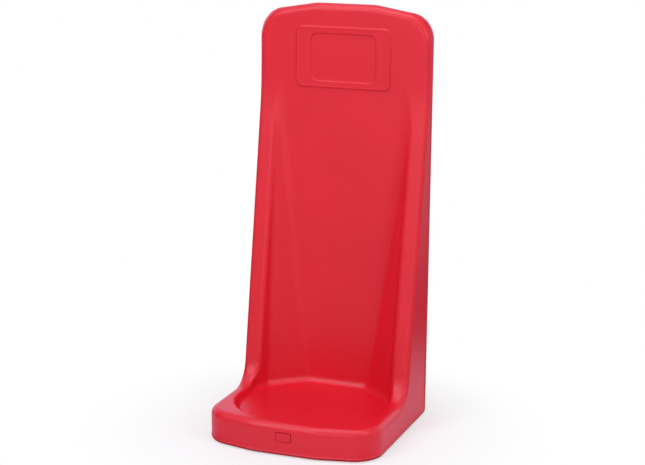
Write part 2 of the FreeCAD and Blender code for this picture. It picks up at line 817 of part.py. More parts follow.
os.makedirs("parts", exist_ok=True)
for piece in pieces:
    piece.Shape.exportStep("parts/%s.step" % piece.Label)
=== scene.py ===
"""Floor stand for one fire extinguisher, looks only.

The stand is a hollow-looking red moulding with a flat back, a trough and tray for the cylinder,
a sign frame on its upper panel, wells for the filler and vent in its back, and small feet.
Shape lengths are millimetres in the moulding's own axes: x to the right, d forwards from the
flat back face, z up from the floor. In the scene, forwards is -Y, so y = BACK - d.
"""
import json
import math

import bmesh
import bpy
import numpy as np
from mathutils import Matrix, Vector
from mathutils.geometry import delaunay_2d_cdt


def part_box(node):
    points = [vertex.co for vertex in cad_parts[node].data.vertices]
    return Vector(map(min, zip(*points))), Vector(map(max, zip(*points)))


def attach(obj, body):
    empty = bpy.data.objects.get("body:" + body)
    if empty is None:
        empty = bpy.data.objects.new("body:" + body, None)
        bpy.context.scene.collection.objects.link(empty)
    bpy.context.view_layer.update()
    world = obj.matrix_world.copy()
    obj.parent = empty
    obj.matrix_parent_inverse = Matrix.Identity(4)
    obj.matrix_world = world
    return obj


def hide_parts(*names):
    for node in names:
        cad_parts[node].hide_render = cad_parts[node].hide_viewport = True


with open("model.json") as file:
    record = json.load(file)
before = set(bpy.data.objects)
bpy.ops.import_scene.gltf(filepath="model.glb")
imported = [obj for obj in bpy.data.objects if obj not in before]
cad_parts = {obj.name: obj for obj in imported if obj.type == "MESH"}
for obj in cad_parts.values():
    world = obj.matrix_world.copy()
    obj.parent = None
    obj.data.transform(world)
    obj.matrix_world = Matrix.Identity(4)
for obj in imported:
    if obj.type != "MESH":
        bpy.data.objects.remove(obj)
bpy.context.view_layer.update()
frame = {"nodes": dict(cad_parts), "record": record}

MM = 1000.0  # millimetres in a metre
MOUNTS = {mount["name"]: mount for mount in frame["record"]["mounts"]}


def mm_box(node):
    lo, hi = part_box(node)
    return np.array(lo) * MM, np.array(hi) * MM


def centre_of(node):
    lo, hi = mm_box(node)
    return (lo + hi) / 2


def add_object(name, data):
    made = bpy.data.objects.new(name, data)
    bpy.context.scene.collection.objects.link(made)
    return made


# ---------------------------------------------------------------- driving sizes
SHELL_LO, SHELL_HI = mm_box("stand_body")
BACK = SHELL_HI[1]
FRONT = BACK - SHELL_LO[1]
TOP = SHELL_HI[2]
HALF_W = SHELL_HI[0]
SOLE = 1.5  # underside
TUCK = 0.55  # the skin sits this far inside the box, so that the mould seam can stand proud of it
PANEL_D = 21.0  # upper panel
WING_TOP = 557.0  # where the leaning wings run into the panel
LIP_Z = 55.0  # level lip round the tray
FLOOR_Z = MOUNTS["cylinder_seat"]["pos_m"][2] * MM
SIGN_Z = MOUNTS["sign_window"]["pos_m"][2] * MM


# ---------------------------------------------------------------- soft joins of distance fields
def soft_max(a, b, width):
    return np.maximum(a, b) + np.maximum(width - np.abs(a - b), 0) ** 2 / (4 * width)


def soft_min(a, b, width):
    return -soft_max(-a, -b, width)


def round_and(a, b, r):
    return np.minimum(-r, np.maximum(a, b)) + np.hypot(np.maximum(r + a, 0), np.maximum(r + b, 0))


def round_or(a, b, r):
    return np.maximum(r, np.minimum(a, b)) - np.hypot(np.maximum(r - a, 0), np.maximum(r - b, 0))


def smooth_step(span, value):
    t = np.clip((value - span[0]) / (span[1] - span[0]), 0, 1)
    return t * t * (3 - 2 * t)


# ---------------------------------------------------------------- outline of the moulding
# A normal is the (across, outwards) direction of a sloping plane.
SIDE_INSET = 2.85  # of the side from the box, at SPLAY_Z
SPLAY, SPLAY_Z, SPLAY_H = 3.0, -10.0, 703.0  # each side gains SPLAY over SPLAY_H
CROWN_HALF_W, CROWN_NORMAL, CROWN_BLEND = 53.0, (0.1652, 0.9863), 1.0
CORNER_R, CORNER_GAIN, CORNER_GAIN_D = 34.0, 11.0, (2.0, 17.0)  # top corners, rounder in front
BOW_HALF_W, BOW_NORMAL, BOW_BLEND, BOW_R = 55.0, (0.2195, 0.9756), 2.9, 39.0
BACK_R = 1.3
SOLE_R, SOLE_R_GAIN, SOLE_GAIN_D = 3.0, 0.5, (0.0, 30.0)  # the gain is at the back


def side_half_width(z):
    return HALF_W - SIDE_INSET - TUCK + SPLAY * (z - SPLAY_Z) / SPLAY_H


def outline_field(ax, d, z):
    """Splayed sides and arched top seen from the front, with the bowed nose of the foot."""
    crown = z - TOP + TUCK
    fall = (ax - CROWN_HALF_W) * CROWN_NORMAL[0] + crown * CROWN_NORMAL[1]
    top = soft_max(fall, crown, CROWN_BLEND)
    corner_r = CORNER_R + CORNER_GAIN * smooth_step(CORNER_GAIN_D, d)
    outline = round_and(ax - side_half_width(z), top, corner_r)
    nose = d - FRONT + TUCK
    swept = (ax - BOW_HALF_W) * BOW_NORMAL[0] + nose * BOW_NORMAL[1]
    return round_and(outline, soft_max(nose, swept, BOW_BLEND), BOW_R)


# ---------------------------------------------------------------- panel, leaning wings, level lip
WING_LEAN, WING_SCALE, WING_BLEND = 0.1733, 0.9853, 34.0  # the scale evens out the distance
LIP_R = 38.5  # hollow between wings and lip
RIM_R = 8.0
RIM_TOP_GAIN, RIM_TOP_Z = 3.0, (540.0, 640.0)
RIM_LIP_GAIN, RIM_LIP_Z = 4.5, (56.0, 95.0)


def wing_depth(z):
    return PANEL_D + WING_LEAN * (WING_TOP - soft_min(z, WING_TOP, WING_BLEND))


def body_field(ax, d, z, wing_d):
    """The moulding before the trough and tray are taken out."""
    wing = (d - wing_d) * np.where(z < WING_TOP, WING_SCALE, 1.0)
    front = round_or(wing, z - LIP_Z, LIP_R)
    rim_r = (RIM_R + RIM_TOP_GAIN * smooth_step(RIM_TOP_Z, z)
             + RIM_LIP_GAIN * (1 - smooth_step(RIM_LIP_Z, z)))
    body = round_and(outline_field(ax, d, z), front, rim_r)
    body = round_and(body, -d, BACK_R)
    return round_and(body, SOLE - z, SOLE_R + SOLE_R_GAIN * (1 - smooth_step(SOLE_GAIN_D, d)))


# ---------------------------------------------------------------- trough and tray
# Trough values: (at the lip, change up to the wing top)
MIDDLE_HALF_W, MIDDLE_D = (55.3, 66.7), (38.0, PANEL_D - 38.0)
WALL_HALF_W, WALL_D = (112.0, 10.7), (86.5, -64.9)
FACET_BLEND = (5.0, 6.0)
TROUGH_BLEND_Z, WALL_BLEND = 24.0, 2.2
FACET_NORMAL = (0.650, 0.760)
WALL_FLARE = 0.466  # sideways per unit forwards
# Tray: straight sides, corner arcs from TRAY_D on, and one wide arc round the front
TRAY_STRETCH, TRAY_CORNER_X, TRAY_D, TRAY_CORNER_R = 1.01, 36.5, 172.0, 90.35
TRAY_ARC_D, TRAY_ARC_R, TRAY_CHANGE = -8.66, 274.66, 4.9496  # slope where the arcs meet
TRAY_BLEND = 2.8
TRAY_FOOT_R, TRAY_FOOT_GAIN, TRAY_FOOT_D = 7.0, 4.5, (70.0, 170.0)
# Rounding of the edge round the whole recess
EDGE_SHARE, EDGE_MAX = 0.75, 5.0
EDGE_GAIN, EDGE_GAIN_Z, EDGE_GAIN_D = 2.6, (56.0, 100.0), (105.0, 150.0)


def trough_field(ax, d, share):
    """Faceted trough: flat middle, slanting facets and outer walls."""
    middle_x, middle_d, wall_x, wall_d, facet_blend = (
        at_lip + change * share
        for at_lip, change in (MIDDLE_HALF_W, MIDDLE_D, WALL_HALF_W, WALL_D, FACET_BLEND)
    )
    middle = d - middle_d
    facet = -(ax - middle_x) * FACET_NORMAL[0] + middle * FACET_NORMAL[1]
    wall = (-(ax - wall_x) + (d - wall_d) * WALL_FLARE) / math.hypot(1, WALL_FLARE)
    return soft_min(soft_min(middle, facet, facet_blend), wall, WALL_BLEND), middle_d


def tray_field(x, ax, d):
    across, ahead = TRAY_STRETCH * ax - TRAY_CORNER_X, d - TRAY_D
    corner = np.hypot(across, ahead) - TRAY_CORNER_R
    arc = np.hypot(x, d - TRAY_ARC_D) - TRAY_ARC_R
    curved = np.where(ahead < TRAY_CHANGE * across, corner, arc)
    return np.where(ahead <= 0, across - TRAY_CORNER_R, curved)


def moulding(x, d, z):
    """Signed distance, negative inside the moulding."""
    ax = np.sqrt(x * x + 0.01)  # |x| without a crease in the middle
    wing_d = wing_depth(z)
    body = body_field(ax, d, z, wing_d)
    share = (soft_min(z, WING_TOP, TROUGH_BLEND_Z) - LIP_Z) / (WING_TOP - LIP_Z)
    trough, middle_d = trough_field(ax, d, share)
    plan = soft_max(-trough, tray_field(x, ax, d), TRAY_BLEND)
    foot_r = TRAY_FOOT_R + TRAY_FOOT_GAIN * (1 - smooth_step(TRAY_FOOT_D, d))
    space = round_and(plan, FLOOR_Z - z, foot_r)
    edge_r = np.clip(EDGE_SHARE * (wing_d - middle_d), 0.0, EDGE_MAX)
    edge_r = edge_r + EDGE_GAIN * (1 - smooth_step(EDGE_GAIN_Z, z)) * smooth_step(EDGE_GAIN_D, d)
    return round_and(body, -space, edge_r)


# ---------------------------------------------------------------- meshing
def surface_net(low, high, cell):
    """Quads over the surface of the moulding, one vertex in each grid cell it crosses."""
    n = [int(math.ceil((b - a) / cell)) + 1 for a, b in zip(low, high)]
    grid = [np.arange(k) * cell + a for k, a in zip(n, low)]
    values = np.empty(n, np.float32)
    for i in range(0, n[0], 16):  # in slices, to save memory
        xs = grid[0][i : i + 16]
        values[i : i + 16] = moulding(
            xs[:, None, None], grid[1][None, :, None], grid[2][None, None, :]
        )
    solid = values < 0
    corners = [(i, j, k) for i in (0, 1) for j in (0, 1) for k in (0, 1)]
    count = np.zeros([k - 1 for k in n], np.uint8)
    for i, j, k in corners:
        count += solid[i : n[0] - 1 + i, j : n[1] - 1 + j, k : n[2] - 1 + k]
    mixed = (count > 0) & (count < 8)
    index = np.full(mixed.shape, -1, np.int64)
    cells = np.argwhere(mixed)
    index[mixed] = np.arange(len(cells))

    # each vertex is the mean of the crossings on its cell's edges
    total, hits = np.zeros((len(cells), 3)), np.zeros(len(cells))
    for a in corners:
        for b in corners:
            if sum(b) - sum(a) != 1 or any(q < p for p, q in zip(a, b)):
                continue
            at_a = values[tuple((cells + a).T)].astype(float)
            at_b = values[tuple((cells + b).T)].astype(float)
            crossed = (at_a < 0) != (at_b < 0)
            t = np.where(crossed, at_a / np.where(crossed, at_a - at_b, 1), 0)
            point = np.array(a)[None] + t[:, None] * (np.array(b) - np.array(a))[None]
            total[crossed] += point[crossed]
            hits[crossed] += 1
    verts = (cells + total / hits[:, None]) * cell + np.array(low)

    # each crossed grid edge gives a quad joining the four cells around it
    quads = []
    for axis in range(3):
        u, v = (axis + 1) % 3, (axis + 2) % 3
        first = [slice(1, -1)] * 3
        second = [slice(1, -1)] * 3
        first[axis], second[axis] = slice(0, -1), slice(1, None)
        solid_a, solid_b = solid[tuple(first)], solid[tuple(second)]
        at = np.argwhere(solid_a != solid_b)
        inside_first = solid_a[tuple(at.T)]
        base = at + 1
        base[:, axis] -= 1
        ring = []
        for du, dv in ((-1, -1), (0, -1), (0, 0), (-1, 0)):
            around = base.copy()
            around[:, u] += du
            around[:, v] += dv
            ring.append(index[tuple(around.T)])
        quad = np.stack(ring, 1)
        quad[~inside_first] = quad[~inside_first][:, ::-1]
        quads.append(quad)
    return verts, np.concatenate(quads)


def gradient(points, step=0.15):
    slope = np.empty_like(points)
    for i in range(3):
        offset = np.zeros(3)
        offset[i] = step
        ahead, behind = points + offset, points - offset
        slope[:, i] = (moulding(*ahead.T) - moulding(*behind.T)) / (2 * step)
    return slope


def newton_step(points, slope, value):
    return points - slope * (value / np.maximum((slope * slope).sum(1), 0.2))[:, None]


def settle(points, rounds):
    """Draw points onto the surface."""
    for _ in range(rounds):
        points = newton_step(points, gradient(points), moulding(*points.T))
    return points


def draw_in_back_edge(verts, cell):
    """Draw the vertices nearest the tight back edge into one clean line along it."""
    probe_d, search_d, line_d, inset, least_z, least_gap = 12.0, 8.0, 0.4, 0.4, 8.0, 1.1
    skin = moulding(verts[:, 0], verts[:, 1] + probe_d, verts[:, 2])
    near = (verts[:, 1] < 0.5 * cell) & (skin > -0.8 * cell) & (verts[:, 2] > least_z)
    home = verts[near]
    line = home.copy()
    for _ in range(3):
        line[:, 1] = search_d
        slope = gradient(line)
        slope[:, 1] = 0
        line = newton_step(line, slope, moulding(*line.T) + inset)
    line[:, 1] = line_d
    # where two land on one spot, the one from further in stays where it was
    rank = skin[near]
    apart = np.sqrt(((line[:, None, :] - line[None, :, :]) ** 2).sum(2))
    inner = ((apart < least_gap) & (rank[None, :] > rank[:, None] + 1e-6)).any(1)
    line[inner] = home[inner]
    verts[near] = line


def border_edges(faces):
    """Directed edges of the faces that only one of them has."""
    edges = set()
    for face in faces:
        n = len(face)
        for i in range(n):
            edges.add((face[i], face[(i + 1) % n]))
    return [e for e in edges if (e[1], e[0]) not in edges]


def in_polygon(points, polygon):
    x, y = points[:, 0], points[:, 1]
    inside = np.zeros(len(points), bool)
    for (x0, y0), (x1, y1) in zip(polygon, np.roll(polygon, -1, 0)):
        inside ^= ((y0 > y) != (y1 > y)) & (x < (x1 - x0) * (y - y0) / (y1 - y0 + 1e-15) + x0)
    return inside


def signed_area(loop):
    after = np.roll(loop, -1, 0)
    return 0.5 * np.sum(loop[:, 0] * after[:, 1] - after[:, 0] * loop[:, 1])


class Shell:
    """Vertices in (x, d, z) and faces, edited by swapping patches in."""

    def __init__(self, verts, quads):
        self.verts = verts
        self.quads = quads
        self.tris = []

    def cut(self, axes, on_face, outline, reach):
        """Remove the quads within reach of the outline and return the border's vertices."""
        flat = self.verts[:, axes]
        on_it = on_face(self.verts)
        spokes = outline - outline.mean(0)
        grown = outline + spokes / np.linalg.norm(spokes, axis=1)[:, None] * reach
        candidate = on_it & (flat > grown.min(0)).all(1) & (flat < grown.max(0)).all(1)
        inside = np.zeros(len(flat), bool)
        inside[candidate] = in_polygon(flat[candidate], grown)
        gone = inside[self.quads].any(1) & on_it[self.quads].all(1)
        edges = border_edges(self.quads[gone])
        self.quads = self.quads[~gone]
        follow = {a: b for a, b in edges}
        start = edges[0][0]
        loop = [start]
        while follow[loop[-1]] != start:
            loop.append(follow[loop[-1]])
        assert len(loop) == len(edges), "patch border is not one loop"
        return np.array(loop)

    def bridge(self, axes, loop, outline, base):
        """Triangles between the border and the outline, whose vertices start at base."""
        border = self.verts[loop][:, axes]
        m, n = len(loop), len(outline)
        edges = [(i, (i + 1) % m) for i in range(m)]
        edges += [(m + i, m + (i + 1) % n) for i in range(n)]
        points = [Vector(v) for v in np.concatenate([border, outline])]
        result = delaunay_2d_cdt(points, edges, [], 0, 1e-5)
        ids = []
        for origin in result[3]:
            assert origin, "the border crosses the patch"
            ids.append(loop[origin[0]] if origin[0] < m else base + origin[0] - m)
        tris = np.array([list(face) for face in result[2] if len(face) == 3])
        middles = np.array([list(v) for v in result[0]])[tris].mean(1)
        tris = np.array(ids)[tris[in_polygon(middles, border) & ~in_polygon(middles, outline)]]
        # turn them the way the removed faces were
        a, b, c = (self.verts[tris[:, i]][:, axes] for i in range(3))
        turn = (b - a)[:, 0] * (c - a)[:, 1] - (b - a)[:, 1] * (c - a)[:, 0]
        flip = turn * signed_area(border) < 0
        tris[flip] = tris[flip][:, ::-1]
        self.tris.append(tris)
        return signed_area(outline) * signed_area(border) < 0

    def patch(self, axes, place, on_face, rings, reach=1.5):
        """Swap in a stack of rings closed by a fan.

        axes are the two coordinates of the patch plane; place(u, v, h) gives the points h out
        of the surface; rings is a list of (Nx2 loop, h), outermost first, all of equal N."""
        outline = rings[0][0]
        loop = self.cut(axes, on_face, outline, reach)
        base, n = len(self.verts), len(outline)
        made = [place(pts[:, 0], pts[:, 1], np.full(len(pts), float(h))) for pts, h in rings]
        self.verts = np.concatenate([self.verts] + made)
        reverse = self.bridge(axes, loop, outline, base)
        order = slice(None, None, -1 if reverse else 1)
        i = np.arange(n)
        j = (i + 1) % n
        for k in range(len(rings) - 1):
            outer, inner = base + k * n, base + (k + 1) * n
            strip = np.stack([outer + i, outer + j, inner + j, inner + i], 1)
            self.quads = np.concatenate([self.quads, strip[:, order]])
        last, centre = base + (len(rings) - 1) * n, len(self.verts)
        self.verts = np.concatenate([self.verts, made[-1].mean(0)[None]])
        self.tris.append(np.stack([last + i, last + j, np.full(n, centre)], 1)[:, order])


def circle_rings(cx, cy, table, count):
    """Rings from a table of (radius, h)."""
    t = np.arange(count) * 2 * math.pi / count
    return [(np.stack([cx + r * np.cos(t), cy + r * np.sin(t)], 1), h) for r, h in table]


def rounded_rect(cy, half_w, half_h, r, side_steps=(24, 16), corner_steps=8):
    """Loop centred on x = 0; side_steps are for the level and the upright sides."""
    r = max(r, 0.05)
    corners = ((1, 1), (-1, 1), (-1, -1), (1, -1))
    points = []
    for k, (sx, sy) in enumerate(corners):
        ox, oy = sx * (half_w - r), cy + sy * (half_h - r)
        start = k * math.pi / 2
        for i in range(corner_steps + 1):
            angle = start + i / corner_steps * math.pi / 2
            points.append((ox + r * math.cos(angle), oy + r * math.sin(angle)))
        next_x, next_y = corners[(k + 1) % 4]
        angle = start + math.pi / 2
        end = (next_x * (half_w - r) + r * math.cos(angle),
               cy + next_y * (half_h - r) + r * math.sin(angle))
        begin = points[-1]
        steps = side_steps[k % 2]
        for i in range(1, steps):
            points.append(tuple(a + (b - a) * i / steps for a, b in zip(begin, end)))
    return np.array(points)


def rect_rings(cy, half_w, half_h, r, table, **steps):
    """Rings from a table of (growth, h)."""
    return [(rounded_rect(cy, half_w + grow, half_h + grow, r + grow, **steps), h)
            for grow, h in table]


CELL = 2.5
GRID_LO = (-161.3, -6.1, -5.2)
GRID_HI = (161.3, FRONT + 6.2, 716.4)
verts, quads = surface_net(GRID_LO, GRID_HI, CELL)
verts = settle(verts, rounds=4)
draw_in_back_edge(verts, CELL)
shell = Shell(verts, quads)

# ---------------------------------------------------------------- patches in the shell
UPRIGHT, LEVEL = [0, 2], [0, 1]  # patch planes: (x, z) and (x, d)


def facing_back(u, v, h):
    return np.stack([u, -h, v], 1)


def facing_front(level):
    return lambda u, v, h: np.stack([u, level + h, v], 1)


def filler_well():
    cap = centre_of("filler_cap")
    sink = BACK - mm_box("filler_insert")[1][1]
    table = (  # radius, h
        (36.0, 0), (34.6, 0.0), (33.9, -0.25), (33.35, -0.8), (33.05, -1.6), (33.0, -3.0),
        (32.9, -6.0), (32.7, -8.6), (32.0, -10.4), (30.6, -11.2), (28.6, -sink), (23.2, -sink),
        (22.4, -sink - 0.1), (22.1, -sink - 0.4), (22.05, -sink - 1.2),
        (22.05, -26.5), (21.7, -28.0), (10.0, -28.0),
    )
    shell.patch(UPRIGHT, facing_back, lambda p: np.abs(p[:, 1]) < 0.6,
                circle_rings(cap[0], cap[2], table, 96))


def vent_well():
    vent = centre_of("vent_plug")
    table = (  # radius, h
        (13.6, 0.0), (13.4, -0.15), (13.15, -0.5), (13.0, -1.0), (12.95, -2.6), (12.6, -3.2),
        (12.0, -3.45), (11.2, -3.5), (6.5, -3.5), (6.15, -3.65), (6.05, -4.0), (6.05, -14.0),
        (3.0, -14.0),
    )
    shell.patch(UPRIGHT, facing_back, lambda p: np.abs(p[:, 1]) < 0.3,
                circle_rings(vent[0], vent[2], table, 64), reach=0.6)


def foot_seat(node):
    foot = centre_of(node)
    table = (  # radius, h
        (16.0, 0.0), (15.2, -0.02), (14.7, -0.25), (14.45, -0.7), (14.4, -1.4), (14.4, -2.5),
        (8.0, -2.5),
    )
    shell.patch(LEVEL, lambda u, v, h: np.stack([u, v, SOLE - h], 1),
                lambda p: p[:, 2] < SOLE + 0.6,
                circle_rings(foot[0], BACK - foot[1], table, 64))


def sign_frame():
    """Raised frame on the panel round a sunken window."""
    # half width, half height, corner radius
    outer, window = (85, 52, 12.5), (58.5, 40.5, 12.5)
    band_out, band_in = np.array((80.0, 47.0, 7.5)), np.array((60.5, 42.5, 14.0))
    outer_table = (  # growth, h
        (4.0, 0.0), (1.0, 0.0), (0.5, 0.06), (0.15, 0.3), (-0.1, 0.75), (-0.3, 1.3),
        (-0.6, 1.85), (-1.0, 2.2), (-1.6, 2.38), (-2.3, 2.36), (-3.2, 2.2), (-5.0, 2.12),
    )
    band_table = ((0.35, 2.06), (0.7, 2.02))  # share of the way inwards, h
    window_table = (  # growth, h
        (1.7, 2.0), (1.0, 1.97), (0.55, 1.86), (0.25, 1.62), (0.08, 1.25), (-0.08, 0.85),
        (-0.25, 0.5), (-0.6, 0.26), (-1.2, 0.2), (-8.0, 0.2),
    )
    rings = rect_rings(SIGN_Z, *outer, outer_table)
    rings += [(rounded_rect(SIGN_Z, *(band_out + (band_in - band_out) * share)), h)
              for share, h in band_table]
    rings += rect_rings(SIGN_Z, *window, window_table)
    shell.patch(UPRIGHT, facing_front(PANEL_D), lambda p: np.abs(p[:, 1] - PANEL_D) < 0.8, rings)


def badge_seat():
    """Grooved seat for the badge plate in the bowed front."""
    gap, corner_r = 0.8, 1.8
    lo, hi = mm_box("badge_plate")
    table = (  # growth, h
        (2.0, 0.0), (0.5, 0.0), (0.2, -0.08), (0.04, -0.3), (0.0, -0.8), (-0.05, -3.2),
        (-0.75, -3.4), (-0.85, -1.6), (-3.0, -1.4),
    )
    rings = rect_rings((hi[2] + lo[2]) / 2, (hi[0] - lo[0]) / 2 + gap, (hi[2] - lo[2]) / 2 + gap,
                       corner_r, table, side_steps=(14, 8), corner_steps=6)
    shell.patch(UPRIGHT, facing_front(FRONT - TUCK), lambda p: p[:, 1] > FRONT - 1.5, rings)


filler_well()
vent_well()
for name in sorted(frame["nodes"]):
    if name.startswith("foot_"):
        foot_seat(name)
sign_frame()
badge_seat()


# ---------------------------------------------------------------- moulded shell
def smooth_mesh(name, points, faces):
    """Smooth-shaded mesh from points in (x, d, z)."""
    points = points.copy()
    points[:, 1] = BACK - points[:, 1]
    mesh = bpy.data.meshes.new(name)
    mesh.from_pydata([tuple(v) for v in points / MM], [], faces)
    bm = bmesh.new()
    bm.from_mesh(mesh)
    bmesh.ops.delete(bm, geom=[v for v in bm.verts if not v.link_faces], context="VERTS")
    bmesh.ops.recalc_face_normals(bm, faces=bm.faces)
    bm.to_mesh(mesh)
    bm.free()
    for polygon in mesh.polygons:
        polygon.use_smooth = True
    mesh.update()
    return mesh


def vertex_values(mesh, key):
    values = np.zeros(len(mesh.vertices) * 3)
    mesh.vertices.foreach_get(key, values)
    return values.reshape(-1, 3)


def add_skin_waves(mesh):
    """Slow waves of a moulded skin, always inwards, leaving the flat back alone."""
    height, bias, fine_share = 0.045, 1.6, 0.6
    points, normals = vertex_values(mesh, "co"), vertex_values(mesh, "normal")
    x, y, z = (points * MM).T
    # divisors are millimetres per radian
    broad = (np.sin(x / 21.0 + 1.7 * np.sin(z / 57.0))
             * np.sin(z / 33.0 + 0.9 * np.sin(x / 41.0) + 0.4))
    fine = np.sin(x / 12.5 + y / 17.0 + 2.0) * np.sin(z / 15.0 + y / 23.0 + 1.1)
    depth = height * (bias + (broad + fine_share * fine))
    depth = depth * smooth_step((BACK - 0.5, BACK - 3.0), y)
    points -= normals * (depth / MM)[:, None]
    mesh.vertices.foreach_set("co", points.ravel())
    mesh.update()


shell_faces = shell.quads.tolist() + np.concatenate(shell.tris).tolist()
shell_mesh = smooth_mesh("moulded_shell", shell.verts, shell_faces)
add_skin_waves(shell_mesh)
body = add_object("moulded_shell", shell_mesh)
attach(body, "stand")
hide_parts("stand_body")

# ---------------------------------------------------------------- mould seam
# One closed bead: up the sides and over the top at SEAM_D, round the foot at SEAM_Z
SEAM_D, SEAM_Z, TURN_R = 7.0, 6.6, 8.0
SEAM_STEP = 2.6
SEAM_PROFILE = (  # sideways, out of the skin
    (-1.1, -0.4), (-1.0, 0.1), (-0.65, 0.46), (0.0, 0.55),
    (0.65, 0.46), (1.0, 0.1), (1.1, -0.4), (0.0, -0.9),
)


def march(origin, steps):
    """Surface points found outwards from origin along unit steps."""
    near, far = np.zeros(len(steps)), np.full(len(steps), 520.0)
    for _ in range(40):
        middle = (near + far) / 2
        inside = moulding(*(origin + steps * middle[:, None]).T) < 0
        near = np.where(inside, middle, near)
        far = np.where(inside, far, middle)
    return origin + steps * ((near + far) / 2)[:, None]


def sweep(degrees):
    return np.linspace(math.radians(-degrees), math.radians(degrees), 900)


def side_turn(sign):
    """Quarter turn on one side, rising from the foot line to the side line."""
    angle = np.linspace(0, math.pi / 2, 8)
    d = SEAM_D + TURN_R - TURN_R * np.sin(angle)
    z = SEAM_Z + TURN_R - TURN_R * np.cos(angle)
    return np.stack([sign * side_half_width(z), d, z], 1)


def seam_path():
    t = sweep(113.0)
    over = march(np.array([0.0, SEAM_D, 350.0]), np.stack([np.sin(t), 0 * t, np.cos(t)], 1))
    over = over[over[:, 2] > SEAM_Z + TURN_R]
    t = sweep(160.0)
    foot = march(np.array([0.0, 140.0, SEAM_Z]), np.stack([-np.sin(t), np.cos(t), 0 * t], 1))
    foot = foot[foot[:, 1] > SEAM_D + TURN_R]
    # left to right over the top, down, right to left round the front, up
    path = np.concatenate([over, side_turn(1)[::-1], foot, side_turn(-1)])
    step = np.linalg.norm(np.roll(path, -1, 0) - path, axis=1)
    run = np.concatenate([[0], np.cumsum(step)])
    closed = np.concatenate([path, path[:1]])
    count = int(run[-1] / SEAM_STEP)
    stations = np.arange(count) * run[-1] / count
    return settle(np.stack([np.interp(stations, run, closed[:, i]) for i in range(3)], 1), 2)


def seam_mesh():
    path = seam_path()
    outward = gradient(path, 0.3)
    outward /= np.linalg.norm(outward, axis=1)[:, None]
    along = np.roll(path, -1, 0) - np.roll(path, 1, 0)
    along /= np.linalg.norm(along, axis=1)[:, None]
    sideways = np.cross(along, outward)
    loops = [path + sideways * u + outward * h for u, h in SEAM_PROFILE]
    count, sides = len(path), len(SEAM_PROFILE)
    faces = []
    for i in range(count):
        here, ahead = i * sides, ((i + 1) % count) * sides
        for j in range(sides):
            k = (j + 1) % sides
            faces.append((here + j, here + k, ahead + k, ahead + j))
    return smooth_mesh("mould_seam", np.stack(loops, 1).reshape(-1, 3), faces)


seam = add_object("mould_seam", seam_mesh())
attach(seam, "stand")


# ---------------------------------------------------------------- shader building
class Graph:
    """Adds nodes to one shader tree; an input takes a socket or a plain value."""

    MIX_SOCKETS = {"FLOAT": (2, 3, 0), "RGBA": (6, 7, 2)}  # first input, second input, output

    def __init__(self, owner):
        owner.use_nodes = True
        self.tree = owner.node_tree

    def feed(self, socket, source):
        if isinstance(source, bpy.types.NodeSocket):
            self.tree.links.new(source, socket)
        else:
            socket.default_value = source

    def node(self, kind, *sources, **named):
        """Names are inputs, with _ for a space, or else settings of the node."""
        made = self.tree.nodes.new("ShaderNode" + kind)
        for name, source in named.items():
            label = name.replace("_", " ")
            if label in made.inputs:
                self.feed(made.inputs[label], source)
            else:
                setattr(made, name, source)
        for i, source in enumerate(sources):
            self.feed(made.inputs[i], source)
        return made

    def maths(self, operation, *sources):
        return self.node("Math", *sources, operation=operation).outputs["Value"]

    def map_range(self, value, span=(0.0, 1.0), to=(0.0, 1.0), smooth=True):
        return self.node(
            "MapRange", Value=value, From_Min=span[0], From_Max=span[1], To_Min=to[0],
            To_Max=to[1], interpolation_type="SMOOTHSTEP" if smooth else "LINEAR",
        ).outputs["Result"]

    def mix(self, kind, factor, first, second):
        in_a, in_b, out = self.MIX_SOCKETS[kind]
        made = self.node("Mix", factor, data_type=kind)
        self.feed(made.inputs[in_a], first)
        self.feed(made.inputs[in_b], second)
        return made.outputs[out]

    def mix_shader(self, factor, first, second):
        return self.node("MixShader", factor, first, second).outputs["Shader"]


# ---------------------------------------------------------------- materials
def plastic(name, colour, mottle, roughness, grain_scale, grain_depth, bump):
    """Mottled colour with a fine grain in roughness and relief."""
    made = bpy.data.materials.new(name)
    g = Graph(made)
    bsdf = g.tree.nodes["Principled BSDF"]
    place = g.node("TexCoord").outputs["Object"]
    broad = g.node("TexNoise", Vector=place, Scale=9.0, Detail=3.0, Roughness=0.55)
    fine = g.node("TexNoise", Vector=place, Scale=grain_scale, Detail=3.0, Roughness=0.6)
    grain = fine.outputs["Fac"]
    ramp = g.node("ValToRGB", Fac=broad.outputs["Fac"])
    dark, light = ramp.color_ramp.elements
    dark.position, light.position = 0.3, 0.7
    dark.color = (*[c * (1 - mottle) for c in colour], 1)
    light.color = (*[min(1, c * (1 + mottle)) for c in colour], 1)
    g.feed(bsdf.inputs["Base Color"], ramp.outputs["Color"])
    g.feed(bsdf.inputs["Roughness"], g.map_range(grain, to=roughness, smooth=False))
    relief = g.node("Bump", Strength=bump, Distance=grain_depth, Height=grain)
    g.feed(bsdf.inputs["Normal"], relief.outputs["Normal"])
    return made, bsdf


